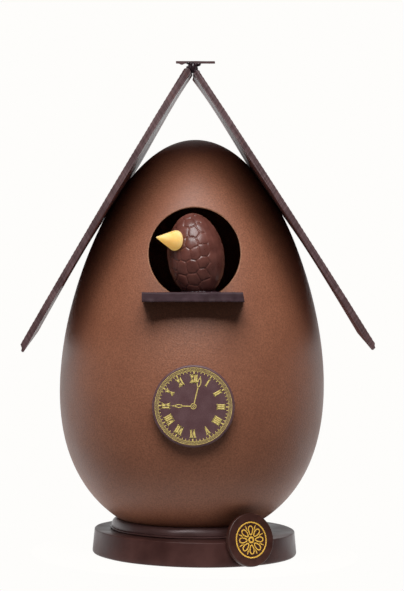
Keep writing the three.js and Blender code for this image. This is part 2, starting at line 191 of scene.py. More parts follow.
def grid_faces(rows, columns, wrap_rows=False, wrap_columns=False, start=0):
    """Quads between the neighbours of a grid of points."""
    last_row = rows if wrap_rows else rows - 1
    last_column = columns if wrap_columns else columns - 1
    row, column = np.meshgrid(np.arange(last_row), np.arange(last_column), indexing="ij")
    next_row = (row + 1) % rows
    next_column = (column + 1) % columns
    corners = [(row, column), (row, next_column), (next_row, next_column), (next_row, column)]
    quads = np.stack([start + r * columns + c for r, c in corners], axis=-1)
    return quads.reshape(-1, 4).tolist()


def turned_points(profile, segments):
    """A profile of (radius, height) pairs turned about Z: a ring of points for each pair."""
    angles = np.arange(segments) * TAU / segments
    r, z = np.array(profile, float).T[:, :, None]
    rings = np.stack([r * np.cos(angles), r * np.sin(angles), z + 0 * angles], axis=-1)
    return rings.reshape(-1, 3)


def turned(profile, segments):
    """The closed body of a profile that runs from pole to pole: points and faces."""
    rings = turned_points(profile[1:-1], segments)
    points = np.vstack([rings, (0, 0, profile[0][1]), (0, 0, profile[-1][1])])
    faces = grid_faces(len(profile) - 2, segments, wrap_columns=True)
    last = len(rings) - segments
    for i in range(segments):
        j = (i + 1) % segments
        faces += [(len(rings), j, i), (len(rings) + 1, last + i, last + j)]
    return points, faces


def egg_body(shape, offset, rows, segments):
    """An egg's closed surface at an offset from its outline."""
    r, z = egg_skin(shape, np.linspace(0, math.pi, rows + 1), offset)
    return turned(list(zip(r, z)), segments)


def from_axis(points):
    return np.hypot(points[:, 0], points[:, 1])


def arc(r, z, size, start, end, steps):
    """Points of (radius, height) on a round corner."""
    angles = np.radians(np.linspace(start, end, steps + 1))
    return [(r + size * math.cos(a), z + size * math.sin(a)) for a in angles]


def dense(profile, step):
    """The same outline with points no further than `step` apart."""
    result = [tuple(profile[0])]
    for (r0, z0), (r1, z1) in zip(profile, profile[1:]):
        count = max(1, math.ceil(math.hypot(r1 - r0, z1 - z0) / step))
        shares = [i / count for i in range(1, count + 1)]
        result += [(r0 + (r1 - r0) * share, z0 + (z1 - z0) * share) for share in shares]
    return result


def loft(sections):
    """A closed body through loops of points, all with the same count, with flat ends."""
    count = len(sections[0])
    points = np.vstack(sections)
    faces = grid_faces(len(sections), count, wrap_columns=True)
    faces.append(list(range(count))[::-1])
    faces.append(list(range(len(points) - count, len(points))))
    return points, faces


def joined(shapes):
    """Several (points, faces) shapes as one."""
    points, faces, count = [], [], 0
    for shape_points, shape_faces in shapes:
        points.append(shape_points)
        faces += [[count + corner for corner in face] for face in shape_faces]
        count += len(shape_points)
    return np.vstack(points), faces


def mesh_of(name, shape):
    points, faces = shape
    mesh = bpy.data.meshes.new(name)
    mesh.from_pydata((np.asarray(points) * MM).tolist(), [], faces)
    mesh.validate()
    return mesh


def outward(mesh):
    """Turns the faces outwards."""
    work = bmesh.new()
    work.from_mesh(mesh)
    bmesh.ops.recalc_face_normals(work, faces=work.faces)
    work.to_mesh(mesh)
    work.free()


def add_object(name, data):
    """A new object in the scene."""
    thing = bpy.data.objects.new(name, data)
    bpy.context.scene.collection.objects.link(thing)
    return thing


def add_piece(name, shape, materials, nodes=(), sharp=35):
    """Makes a piece from (points, faces) or a finished mesh, and ties it to the CAD frame."""
    mesh = shape if isinstance(shape, bpy.types.Mesh) else mesh_of(name, shape)
    outward(mesh)
    mesh.shade_smooth()
    mesh.set_sharp_from_angle(angle=math.radians(sharp))
    for material in materials:
        mesh.materials.append(material)
    piece = add_object(name, mesh)
    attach(piece, "root")
    if nodes:
        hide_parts(*nodes)
    return piece


def add_moved(name, mesh, materials, nodes=(), sharp=70):
    """Adds a finished mesh that is in the egg's frame."""
    mesh.transform(Matrix.Translation(AXIS * MM))
    add_piece(name, mesh, materials, nodes, sharp)


def evaluated(piece):
    """The mesh of a piece after its modifiers."""
    bpy.context.view_layer.update()
    graph = bpy.context.evaluated_depsgraph_get()
    return bpy.data.meshes.new_from_object(piece.evaluated_get(graph), depsgraph=graph)


def cut(name, body, tool):
    """The mesh of one shape, which may be hollow, with another one taken away."""
    piece = add_object(name, mesh_of(name, body))
    cutter = add_object(name + "_cutter", mesh_of(name, tool))
    outward(cutter.data)
    modifier = piece.modifiers.new("cut", "BOOLEAN")
    modifier.operation = "DIFFERENCE"
    modifier.solver = "EXACT"
    modifier.object = cutter
    mesh = evaluated(piece)
    bpy.data.objects.remove(piece)
    bpy.data.objects.remove(cutter)
    return mesh


def melted(name, shapes, voxel, rounds):
    """The mesh of several shapes run together, as melted chocolate runs."""
    piece = add_object(name, mesh_of(name, joined(shapes)))
    outward(piece.data)
    remesh = piece.modifiers.new("remesh", "REMESH")
    remesh.mode = "VOXEL"
    remesh.voxel_size = voxel * MM
    smooth = piece.modifiers.new("smooth", "SMOOTH")
    smooth.factor = 0.5
    smooth.iterations = rounds
    mesh = evaluated(piece)
    bpy.data.objects.remove(piece)
    return mesh


def drop(centre, size):
    """An ellipsoid with half-axes `size`."""
    rows, columns = 14, 20
    angles = np.linspace(0, math.pi, rows + 1)
    points, faces = turned([(math.sin(a), math.cos(a)) for a in angles], columns)
    return points * np.array(size, float) + np.array(centre, float), faces


# ---- Materials ----


def linear(red, green, blue):
    """Screen values from 0 to 255 as the linear colour that shaders take."""
    values = [value / 255 for value in (red, green, blue)]
    return [v / 12.92 if v <= 0.04045 else ((v + 0.055) / 1.055) ** 2.4 for v in values] + [1]


def add_node(tree, kind, inputs, **settings):
    """A node whose inputs are set to values, or linked where an output is given."""
    node = tree.nodes.new("ShaderNode" + kind)
    for name, value in settings.items():
        setattr(node, name, value)
    for socket, value in inputs.items():
        if isinstance(value, bpy.types.NodeSocket):
            tree.links.new(value, node.inputs[socket])
        else:
            node.inputs[socket].default_value = value
    return node


def map_range(tree, value, low, high, new_low, new_high):
    """Goes from new_low to new_high as a value goes from low to high, and no further."""
    limits = {"From Min": low, "From Max": high, "To Min": new_low, "To Max": new_high}
    return add_node(tree, "MapRange", {"Value": value, **limits}).outputs["Result"]


class Finish:
    """A material with patches of two screen colours, from noise in the part's own frame."""

    def __init__(self, name, size, detail, first, second, low=0.35, high=0.65):
        self.material = bpy.data.materials.new(name)
        self.material.use_nodes = True
        self.tree = self.material.node_tree
        self.shader = self.tree.nodes["Principled BSDF"]
        self.place = self.node("TexCoord", {}).outputs["Object"]
        self.normal = None
        self.tone = linear(*first)
        self.patches = self.noise(size, detail)
        self.overlay(self.patches, second, low, high, 1)

    def node(self, kind, inputs, **settings):
        return add_node(self.tree, kind, inputs, **settings)

    def drive(self, name, output):
        """Links an output to one of the shader's inputs."""
        self.tree.links.new(output, self.shader.inputs[name])

    def scaled(self, value, low, high, new_low, new_high):
        return map_range(self.tree, value, low, high, new_low, new_high)

    def noise(self, size, detail=3, place=None):
        """Noise with features of about `size` millimetres."""
        inputs = {"Scale": 1 / (size * MM), "Detail": detail, "Vector": place or self.place}
        return self.node("TexNoise", inputs).outputs["Fac"]

    def streaks(self, angle, scale, detail):
        """Noise turned about Y by an angle in degrees, with a scale along each of its axes."""
        rotation = (0, math.radians(angle), 0)
        place = self.node("Mapping", {"Vector": self.place, "Rotation": rotation})
        place = self.node("Mapping", {"Vector": place.outputs["Vector"], "Scale": scale})
        return self.noise(1, detail, place.outputs["Vector"])

    def overlay(self, value, colour, low, high, share):
        """Blends in up to a share of a screen colour as a value goes from low to high."""
        inputs = {
            "Factor": self.scaled(value, low, high, 0, share), 6: self.tone, 7: linear(*colour),
        }
        self.tone = self.node("Mix", inputs, data_type="RGBA").outputs[2]
        self.drive("Base Color", self.tone)

    def roughness(self, smooth, rough, low=0.3, high=0.7):
        self.drive("Roughness", self.scaled(self.patches, low, high, smooth, rough))

    def bump(self, value, depth):
        """Raises the surface by up to `depth` millimetres, on top of earlier bumps."""
        inputs = {"Strength": 1, "Distance": depth * MM, "Height": value}
        if self.normal is not None:
            inputs["Normal"] = self.normal
        self.normal = self.node("Bump", inputs).outputs["Normal"]
        self.drive("Normal", self.normal)

    def set(self, **values):
        for name, value in values.items():
            self.shader.inputs[name.replace("_", " ")].default_value = value


# Finishes of patches alone: the patches' size and detail, their two screen colours, roughness
# from and to and where in the noise it changes, bumps as (size, detail, depth), and where in
# the noise the colours change. What is left out is as in Finish.
CAST_BUMPS = [(9, 4, 0.14), (0.7, 2, 0.012)]
PRINT_BUMPS = [(0.3, 2, 0.02)]
PATCHY = {
    "dark_chocolate": (16, 5, [(54, 30, 27), (70, 42, 38)], (0.34, 0.46, 0.35, 0.65), CAST_BUMPS),
    # The seat ring's chocolate: the base's dark chocolate made lighter, as painted highlight on
    # the ring's round shoulder.
    "ring_chocolate_painted_highlight": (16, 5, [(72, 46, 43), (92, 64, 62)], (0.34, 0.46, 0.35, 0.65), CAST_BUMPS),
    "cut_milk_chocolate": (0.8, 4, [(128, 82, 58), (176, 124, 94)], (0.6, 0.8), [(0.8, 4, 0.12)]),
    "bird_chocolate": (7, 4, [(90, 50, 43), (112, 66, 57)], (0.26, 0.38), [(1.6, 3, 0.03)]),
    "medallion_chocolate": (5, 4, [(52, 23, 16), (64, 30, 21)], (0.38, 0.52), [(0.8, 3, 0.03)]),
    "melted_chocolate": (
        5, 4, [(32, 20, 26), (54, 36, 40)], (0.18, 0.3), [(2.5, 2, 0.02)], (0.3, 0.7)
    ),
    # The beak's chocolate below gets painted glow from an emission set in dress().
    "yellow_chocolate": (
        3.5, 4, [(226, 180, 112), (230, 194, 136)], (0.34, 0.48), [(0.9, 3, 0.04)], (0.3, 0.7)
    ),
    "dial_gold": (
        0.7, 4, [(206, 180, 98), (248, 226, 136)], (0.35, 0.6), PRINT_BUMPS, (0.36, 0.64)
    ),
    "medallion_gold": (
        0.7, 4, [(214, 160, 56), (246, 200, 84)], (0.35, 0.6), PRINT_BUMPS, (0.36, 0.64)
    ),
}


def patchy(name, **values):
    """One of the finishes of patches alone, with values for the shader's own inputs."""
    size, detail, colours, rough, bumps, *spread = PATCHY[name]
    finish = Finish(name, size, detail, *colours, *(spread[0] if spread else ()))
    finish.roughness(*rough)
    for bump_size, bump_detail, depth in bumps:
        finish.bump(finish.noise(bump_size, bump_detail), depth)
    finish.set(**values)
    return finish.material


def milk_chocolate():
    finish = Finish("milk_chocolate", 22, 4, (151, 95, 70), (160, 102, 75))
    grain = finish.noise(0.9, detail=1.5)
    finish.overlay(grain, (120, 74, 53), 0.3, 0.7, 0.8)
    finish.roughness(0.48, 0.56)
    finish.bump(finish.noise(7), 0.06)
    finish.bump(grain, 0.16)
    finish.set(IOR=1.5)
    return finish.material


def plank_chocolate(name, angle):
    """Chocolate with layers that run along a plank, at an angle in degrees from level."""
    finish = Finish(name, 14, 4, (84, 63, 65), (105, 79, 81))
    layers = finish.streaks(angle, (0.04, 0.25, 1), 4)
    finish.overlay(layers, (68, 45, 45), 0.38, 0.62, 0.75)
    finish.overlay(finish.streaks(angle, (0.09, 0.3, 1.9), 3), (108, 66, 58), 0.58, 0.7, 0.5)
    finish.roughness(0.36, 0.5)
    finish.bump(layers, 0.06)
    finish.bump(finish.noise(0.8, detail=2), 0.015)
    return finish.material


def moulded_underside_painted_sheen(name, side):
    """A plank's underside: glossy high up, dull below, with low_gloss near its lower end. Its pale
    pinkish-grey colour is partly the chocolate's own tone and partly painted reflection of the
    pale room.
    """
    gloss, ridge, low_end = 0.032, (287, 295), (130, 165)
    # Paler and greyer than the plank's face: painted reflection of the pale room on top of the
    # chocolate's own tone.
    finish = Finish(name, 18, 4, (136, 102, 100), (156, 119, 117))
    finish.roughness(0.08, 0.16)
    finish.bump(finish.noise(24, detail=2), 0.04)
    height = finish.node("SeparateXYZ", {"Vector": finish.place}).outputs["Z"]
    total = finish.scaled(height, side.dull_at * MM, side.glossy_at * MM, 0, gloss)
    for (start, end), first, last in ((ridge, 0, -gloss), (low_end, side.low_gloss, 0)):
        change = finish.scaled(height, start * MM, end * MM, first, last)
        total = finish.node("Math", {0: total, 1: change}, operation="ADD").outputs["Value"]
    finish.drive("Specular IOR Level", total)
    finish.set(IOR=1.02)
    return finish.material


def dial_chocolate():
    finish = Finish("dial_chocolate", 6, 5, (99, 67, 70), (110, 78, 81))
    grain = finish.noise(0.5)
    finish.overlay(grain, (74, 48, 52), 0.35, 0.65, 0.5)
    finish.roughness(0.4, 0.55)
    finish.bump(grain, 0.04)
    return finish.material


def ledge_chocolate():
    finish = Finish("ledge_chocolate", 6, 5, (57, 37, 43), (73, 50, 57))
    finish.overlay(finish.streaks(0, (0.07, 0.3, 0.9), 3), (56, 34, 36), 0.45, 0.7, 0.6)
    finish.roughness(0.45, 0.6)
    finish.set(Specular_IOR_Level=0.36)
    finish.bump(finish.noise(1.2, detail=4), 0.05)
    return finish.material


# ---- Base, seat and shell ----


def base_disc(material):
    side_wobble, top_dip = 0.0035, 0.2
    profile = [
        (0, 0),
        *arc(BASE.bottom - BASE.bottom_round, BASE.bottom_round, BASE.bottom_round, -90, 0, 6),
        *arc(BASE.top - BASE.top_round, BASE.height - BASE.top_round, BASE.top_round, 0, 90, 6),
        (0, BASE.height),
    ]
    points, faces = turned(dense(profile, 2), 240)
    side = ramp(from_axis(points), BASE.top - 8, BASE.top)
    points[:, :2] *= (1 + side_wobble * side * noise(points, 17, 3))[:, None]
    on_top = ramp(points[:, 2], BASE.height - 1, BASE.height)
    points[:, 2] -= on_top * top_dip * (1 + noise(points, 14, 4))
    add_piece("base_disc_cast", (points, faces), [material], ["base_disc"])


def seat_ring(material):
    """The low ring that the egg is set in: a foot, a groove and a round shoulder."""
    groove_top, side_wobble, lump = 1.6, 0.006, 0.25
    shoulder_foot = SEAT.foot - 0.5
    profile = [(egg_radius(EGG, z) - 0.2, z) for z in np.linspace(SEAT.height, GAP, 12)]
    profile += [(SEAT.foot, GAP), (SEAT.foot, GAP + 0.5), (SEAT.foot - SEAT.groove, GAP + 0.9)]
    for bend in np.linspace(0, math.pi / 2, 13):
        r = shoulder_foot - (shoulder_foot - SEAT.top) * (1 - math.cos(bend))
        profile.append((r, groove_top + (SEAT.height - groove_top) * math.sin(bend)))
    profile = dense(profile, 0.8)
    segments = 260
    points = turned_points(profile, segments)
    outside = ramp(from_axis(points), SEAT.top, SEAT.foot - 1)
    points[:, :2] *= (1 + side_wobble * outside * noise(points, 12, 8))[:, None]
    points[:, 2] += lump * ramp(points[:, 2], 2, SEAT.height) * noise(points, 9, 9)
    shape = (points + AXIS, grid_faces(len(profile), segments, wrap_rows=True, wrap_columns=True))
    add_piece("seat_ring_cast", shape, [material], ["seat_ring"])


def doorway_cutter():
    """A tunnel through the front wall that flares where it meets the outer surface."""
    segments, back = 160, -10
    ring = np.column_stack([circle(1, segments), np.zeros(segments)])
    uneven = 0.18 * noise(ring * DOORWAY.radius, 7, 21)
    uneven += 0.1 * noise(ring * DOORWAY.radius, 2.2, 22)
    edge = DOORWAY.edge + uneven
    steps = [(edge * 4, -edge * 3), (edge, 0), (edge * 0.3, edge * 0.55), (0, edge * 1.5)]
    sections = []
    for flare, depth in steps:
        x = DOORWAY.x + (DOORWAY.radius + flare) * ring[:, 0]
        z = DOORWAY.z + (DOORWAY.radius + flare) * ring[:, 1]
        sections.append(np.stack([x, shell_front(x, z) + depth, z], axis=-1))
    sections.append(sections[-1] * (1, 0, 1) + (0, back, 0))
    return loft(sections)


def egg_shell(material, cut_material):
    unevenness = 0.12
    outer, outer_faces = egg_body(EGG, 0, 170, 300)
    inner, inner_faces = egg_body(EGG, -SHELL_WALL, 80, 120)
    outer[:, 2] = np.maximum(outer[:, 2], GAP)
    inner[:, 2] = np.maximum(inner[:, 2], GAP + SHELL_WALL)
    away = outer - (0, 0, EGG.middle)
    away /= np.linalg.norm(away, axis=1)[:, None]
    standing = ramp(outer[:, 2], 2, 12)
    outer += away * (unevenness * standing * noise(outer, 26, 5))[:, None]
    shell = joined([(outer, outer_faces), (inner, [face[::-1] for face in inner_faces])])
    mesh = cut("egg_shell_cast", shell, doorway_cutter())
    for polygon in mesh.polygons:
        x, y, z = np.array(polygon.center) / MM
        reach = math.hypot(x - DOORWAY.x, z - DOORWAY.z)
        polygon.material_index = int(y < 0 and reach < DOORWAY.radius + 0.9 * DOORWAY.edge)
    materials = [material, cut_material]
    add_moved("egg_shell_cast", mesh, materials, ["egg_shell"], sharp=30)


# ---- Perch, bird egg and beak ----


def on_ledge(points):
    return placed(points, turn("Y", -LEDGE.tilt), (0, 0, LEDGE.z))


def perch_ledge(material):
    """A bar broken off by hand: a ragged lower front edge and a slanted right end."""
    front, top, columns = LEDGE.front, LEDGE.thickness, 150
    sections = []
    for share in np.linspace(0, 1, columns):
        x = LEDGE.left + (LEDGE.right - LEDGE.left) * share
        back = float(shell_front(x, LEDGE.z)) + 1.5
        loop = [(y, 0) for y in np.linspace(back, front + 1.2, 8)]
        loop += [(front + 0.5, 0.12), (front + 0.12, 0.45)]
        loop += [(front, z) for z in np.linspace(1, top - 0.8, 9)]
        loop += [(front + 0.15, top - 0.25), (front + 0.5, top - 0.03)]
        loop += [(y, top) for y in np.linspace(front + 1.2, back, 8)]
        y, z = np.array(loop).T
        sections.append(np.stack([x - LEDGE.slant * ramp(share, 0.8, 1) * z / top, y, z], axis=-1))
    points, faces = loft(sections)
    near_front = ramp(-points[:, 1], -front - 2.5, -front)
    low = 1 - ramp(points[:, 2], 0, 2)
    along = points * (1, 0.1, 0.1)
    ragged = low * (1 + noise(along, 2.6, 31) + 0.6 * noise(along, 1.1, 32))
    worn = LEDGE.uneven * (1 + noise(points, 3.5, 33))
    points[:, 1] += near_front * (worn - LEDGE.ragged * ragged)
    points[:, 2] -= near_front * LEDGE.uneven * ragged
    points[:, 2] += (1 - low) * LEDGE.uneven * noise(points, 6, 34)
    shape = (on_ledge(points) + AXIS, faces)
    add_piece("perch_ledge_cast", shape, [material], ["perch_ledge"])


def on_bird(angle, azimuth):
    """A point of the bird egg's skin, in its own frame, for angles in radians."""
    r, z = egg_point(BIRD, angle)
    return np.stack([r * np.cos(azimuth), r * np.sin(azimuth), z + 0 * azimuth], axis=-1)


def onto_bird(point):
    across = math.hypot(point[0], point[1]) / BIRD.radius
    angle = math.atan2(across, (point[2] - BIRD.middle) / BIRD.half)
    return on_bird(angle, math.atan2(point[1], point[0]))


def crackle_seeds():
    """The crackle's cell centres: some listed, the rest scattered and pushed apart."""
    fixed = []
    for azimuth, height in FRONT_CELLS:
        angle = math.acos((height - BIRD.middle) / BIRD.half)
        fixed.append(on_bird(angle, math.radians(azimuth - 90)))
    golden_angle = math.pi * (3 - math.sqrt(5))
    skin_area = 11.3 * BIRD.radius * BIRD.half
    spacing = math.sqrt(1.15 * skin_area / CRACKLE.cells)
    free = []
    for i in range(CRACKLE.cells):
        seed = on_bird(math.acos(1 - (2 * i + 1) / CRACKLE.cells), golden_angle * i)
        jitter = np.array([scatter(i, channel) - 0.5 for channel in (1, 2, 3)])
        moved = onto_bird(seed + spacing * 0.8 * jitter)
        if all(np.linalg.norm(moved - other) > spacing * 0.67 for other in fixed):
            free.append(moved)
    reach = spacing * 1.23
    for _ in range(12):
        everyone = np.array(fixed + free)
        for i, seed in enumerate(free):
            away = seed - everyone
            apart = np.linalg.norm(away, axis=1)
            near = (apart > 0) & (apart <= reach)
            push = (away[near] * (0.3 * (reach - apart[near]) / apart[near])[:, None]).sum(axis=0)
            free[i] = onto_bird(seed + push)
    return np.array(fixed + free)


def on_bird_foot(points):
    height = LEDGE.z + LEDGE.thickness
    return placed(points, turn("Y", -BIRD_FOOT.lean), (BIRD_FOOT.x, BIRD_FOOT.y, height))


def bird_relief(points):
    """How far the crackled skin stands out at each point of the smooth egg."""
    seeds = crackle_seeds()
    wander = np.stack([noise(points, 2.4, seed) for seed in (41, 42, 43)], axis=-1)
    asked = points + CRACKLE.wander * wander
    distances = np.linalg.norm(asked[:, None, :] - seeds[None, :, :], axis=2)
    distances.sort(axis=1)
    from_groove = (distances[:, 1] - distances[:, 0]) / 2
    groove = -CRACKLE.depth * np.exp(-((from_groove / CRACKLE.half_width) ** 2))
    dome = CRACKLE.dome * (ramp(from_groove, 0, 2.6) - 0.5)
    azimuth = np.degrees(np.arctan2(points[:, 0], -points[:, 1]))
    outside = np.maximum(SMOOTH_BAND.start - azimuth, azimuth - SMOOTH_BAND.end)
    crackled = np.clip(outside / SMOOTH_BAND.fade, 0, 1)
    lines = sum(np.exp(-(((azimuth - at) / width) ** 2)) for at, width in SMOOTH_BAND.lines)
    lumps = CRACKLE.lumps * noise(points, 3.2, 44)
    return crackled * (groove + dome) + lumps + (1 - crackled) * SMOOTH_BAND.line_height * lines


def bird_egg(material):
    points, faces = egg_body(BIRD, 0, 230, 330)
    angles = np.arccos(np.clip((points[:, 2] - BIRD.middle) / BIRD.half, -1, 1))
    r1, z1 = egg_skin(BIRD, angles, 1)
    r0 = from_axis(points)
    normal = points * ((r1 - r0) / np.maximum(r0, 1e-6))[:, None]
    normal[:, 2] = z1 - points[:, 2]
    standing = on_bird_foot(points + normal * bird_relief(points)[:, None])
    on_bar = placed(standing - (0, 0, LEDGE.z), turn("Y", LEDGE.tilt))
    on_bar[:, 2] = np.maximum(on_bar[:, 2], LEDGE.thickness + 0.05)
    shape = (on_ledge(on_bar) + AXIS, faces)
    add_piece("bird_egg_cast", shape, [material], ["bird_egg"], sharp=60)


def on_beak(points):
    """From the beak's frame, with its axis along +Z, to the part's frame."""
    distance = egg_radius(BIRD, BEAK.height) + GAP
    pitched = placed(points, turn("X", 90 - BEAK.pitch), (0, -distance, BEAK.height))
    return on_bird_foot(placed(pitched, turn("Z", BEAK.azimuth))) + AXIS


def beak(material):
    flare = math.degrees(math.atan2(BEAK.radius, BEAK.length))
    profile = [
        (0, -2),
        (BEAK.radius * 0.6, -2),
        (BEAK.radius * 0.6, 0),
        *arc(BEAK.radius - BEAK.rim, BEAK.rim, BEAK.rim, -90, flare, 8),
        *arc(0, BEAK.length - 0.55, 0.5, flare, 90, 5),
    ]
    points, faces = turned(dense(profile, 0.5), 96)
    points[:, :2] *= (1 + 0.02 * noise(points, 5, 51))[:, None]
    shape = (on_beak(points), faces)
    add_piece("beak_cast", shape, [material], ["beak"])


def glue_spots(material):
    """Melted chocolate that holds the beak and the bird egg's foot."""
    under_beak = on_beak(np.array([[0, -BEAK.radius * 0.72, 0.6]]))[0] - AXIS
    spots = [drop(under_beak, (1.5, 1.3, 1.3))]
    for i in range(FOOT_SPOTS.count):
        azimuth = math.radians(-90 + FOOT_SPOTS.step * i)
        reach = FOOT_SPOTS.reach + 0.5 * scatter(i, 5)
        size = 1 + 0.5 * scatter(i, 6)
        x = BIRD_FOOT.x + reach * math.cos(azimuth)
        y = BIRD_FOOT.y + reach * math.sin(azimuth)
        z = LEDGE.z + LEDGE.thickness + math.sin(math.radians(LEDGE.tilt)) * x + 0.1
        spots.append(drop((x, y, z), (1.6 * size, 1.3 * size, 0.55 * size)))
    mesh = melted("glue_spots", spots, 0.25, 3)
    add_moved("glue_spots", mesh, [material])


# ---- Dial and medallion ----


def disc_profile(shape):
    return [
        (0, 0),
        (shape.radius - 0.3, 0),
        (shape.radius, 0.3),
        *arc(shape.radius - shape.rim, shape.thickness - shape.rim, shape.rim, 0, 90, 8),
        (0, shape.thickness),
    ]


def ribbon(path, width, closed=False):
    """A raised flat line of gold along (x, y) points, on a face at z = 0."""
    path = np.array(path, float)
    if closed:
        ahead, behind = np.roll(path, -1, axis=0), np.roll(path, 1, axis=0)
    else:
        ahead = np.vstack([path[1:], 2 * path[-1:] - path[-2:-1]])
        behind = np.vstack([2 * path[:1] - path[1:2], path[:-1]])
    along = ahead - behind
    along /= np.linalg.norm(along, axis=1)[:, None]
    sideways = np.stack([-along[:, 1], along[:, 0]], axis=-1)
    half = (np.zeros(len(path)) + width)[:, None] / 2
    outline = [(-1, -GOLD.sink), (-1, GOLD.shoulder), (-0.8, GOLD.height)]
    outline += [(-side, z) for side, z in outline[::-1]]
    corners = []
    for side, z in outline:
        corners.append(np.column_stack([path + side * half * sideways, np.full(len(path), z)]))
    points = np.stack(corners, axis=1).reshape(-1, 3)
    faces = grid_faces(len(path), 6, wrap_rows=closed, wrap_columns=True)
    if not closed:
        faces.append([5, 4, 3, 2, 1, 0])
        last = len(points) - 6
        faces.append([last + corner for corner in range(6)])
    return points, faces


def circle(radius, count):
    angles = np.arange(count) * TAU / count
    return radius * np.stack([np.cos(angles), np.sin(angles)], axis=-1)


def gold_rings(sizes, count):
    """Closed lines of gold round the centre, each with a (radius, width)."""
    return [ribbon(circle(radius, count), width, closed=True) for radius, width in sizes]


def clockwise(angle):
    """The directions out and to its right, at degrees clockwise from 12 o'clock."""
    up = np.array([math.sin(math.radians(angle)), math.cos(math.radians(angle))])
    return up, np.array([up[1], -up[0]])


def numeral_strokes(text):
    """Strokes of a Roman numeral as (start, end, width), centred, for a height of 1."""
    widths = {"I": 0.21, "V": 0.44, "X": 0.42}
    thick, thin, serif = NUMERALS.thick, NUMERALS.thin, NUMERALS.serif
    left = -sum(widths[letter] for letter in text) / 2
    strokes = []
    for letter in text:
        middle = left + widths[letter] / 2
        foot, head = middle - widths[letter] * 0.36, middle + widths[letter] * 0.36
        if letter == "I":
            strokes.append(((middle, 0), (middle, 1), thick))
            serifs = [(middle, 0), (middle, 1)]
        elif letter == "V":
            strokes += [((foot, 1), (middle, 0), thick), ((head, 1), (middle, 0), thin)]
            serifs = [(foot, 1), (head, 1)]
        else:
            strokes += [((foot, 1), (head, 0), thick), ((head, 1), (foot, 0), thin)]
            serifs = [(foot, 1), (head, 1), (foot, 0), (head, 0)]
        for x, y in serifs:
            y = min(max(y, serif / 2), 1 - serif / 2)
            strokes.append(((x - 0.12, y), (x + 0.12, y), serif))
        left += widths[letter]
    return strokes


def dial_numerals():
    size = NUMERALS.outer - NUMERALS.inner
    shapes = []
    for hour, text in enumerate("XII I II III IIII V VI VII VIII IX X XI".split()):
        up, right = clockwise(30 * hour)
        for (x0, y0), (x1, y1), width in numeral_strokes(text):
            start = up * (NUMERALS.inner + size * y0) + right * size * x0
            end = up * (NUMERALS.inner + size * y1) + right * size * x1
            shapes.append(ribbon([start, (start + end) / 2, end], width * size))
    return shapes


def leaf_hand(hand):
    """A clock hand with an open leaf: a stem, two curved lines around the leaf, and a tip."""
    up, right = clockwise(hand.angle)
    shapes = [ribbon([up * 1.6, up * (hand.leaf_start + 0.3)], 0.62)]
    shares = np.linspace(0, 1, 15)
    reach = hand.leaf_start + (hand.leaf_end - hand.leaf_start) * shares
    for side in (-1, 1):
        bulge = side * hand.leaf_width / 2 * np.sin(math.pi * shares ** 0.85)
        shapes.append(ribbon(reach[:, None] * up + bulge[:, None] * right, 0.48))
    tip = np.linspace(hand.leaf_end - 0.3, hand.length, 5)
    shapes.append(ribbon(tip[:, None] * up, np.linspace(0.75, 0.25, 5)))
    return shapes


def dial_print():
    inner, outer = TRACK.inner, TRACK.outer
    track = [(outer - 0.15, 0.3), (outer - 0.85, 0.2), (outer - 1.5, 0.2), (inner + 0.12, 0.22)]
    shapes = gold_rings(track, 160)
    for minute in range(60):
        up, _ = clockwise(6 * minute)
        width, reach = (0.75, TRACK.hour) if minute % 5 == 0 else (0.36, TRACK.minute)
        shapes.append(ribbon([up * reach, up * (inner + 0.1)], width))
    shapes += dial_numerals() + leaf_hand(HOUR_HAND) + leaf_hand(MINUTE_HAND)
    return shapes + gold_rings([(1.5, 0.42)], 32) + gold_rings([(0.55, 0.3)], 20)


def on_dial(points):
    """From the dial's frame, x to the right and z out of its face, to the part's frame."""
    front = float(egg_radius(EGG, DIAL.z)) + GAP + DIAL.thickness
    return placed(points, turn("X", 90), (DIAL.x, -front, DIAL.z)) + AXIS


def clock_dial(material, print_material):
    pad = [(0, -3), (DIAL.pad, -3), (DIAL.pad, 0)]
    points, faces = turned(dense([*pad, *disc_profile(DIAL)[1:]], 0.9), 200)
    rim = ramp(from_axis(points), DIAL.radius - 3, DIAL.radius)
    points[:, :2] *= (1 + 0.005 * rim * noise(points, 8, 61))[:, None]
    points[:, 2] -= DIAL.thickness
    shape = (on_dial(points), faces)
    add_piece("clock_dial_cast", shape, [material], ["clock_dial"])
    points, faces = joined(dial_print())
    add_piece("dial_gold_print", (on_dial(points), faces), [print_material])


def on_medallion(points):
    """From the medallion's frame, z out of its face, to its place leaning on the base's rim."""
    tip = math.radians(MEDALLION.lean)
    centre_z = MEDALLION.radius * math.cos(tip) + MEDALLION.thickness / 2 * math.sin(tip) + 0.1
    rim_z = BASE.height - BASE.top_round / 2
    rim_distance = BASE.top + GAP
    push = (MEDALLION.thickness / 2 + (rim_z - centre_z) * math.sin(tip)) / math.cos(tip)
    stood = placed(points, turn("X", 90 - MEDALLION.lean), (0, -(rim_distance + push), centre_z))
    return placed(stood, turn("Z", MEDALLION.azimuth))


def rosette():
    """A plain ring with a flower of eight petals."""
    shapes = gold_rings([(10.4, 0.8)], 120) + gold_rings([(1.5, 1.1)], 40)
    turns = np.linspace(0, TAU, 33)[:-1]
    reach = 5.6 - 2.6 * np.cos(turns)
    wide = 1.4 * np.sin(turns) * (1 - 0.25 * np.cos(turns))
    for petal in range(8):
        up, right = clockwise(45 * petal)
        shapes.append(ribbon(reach[:, None] * up + wide[:, None] * right, 0.7, closed=True))
        between, _ = clockwise(45 * petal + 22.5)
        dash = [between * 6, between * 7.6, between * 9.2]
        shapes.append(ribbon(dash, np.array([0.3, 0.8, 0.3])))
    return shapes


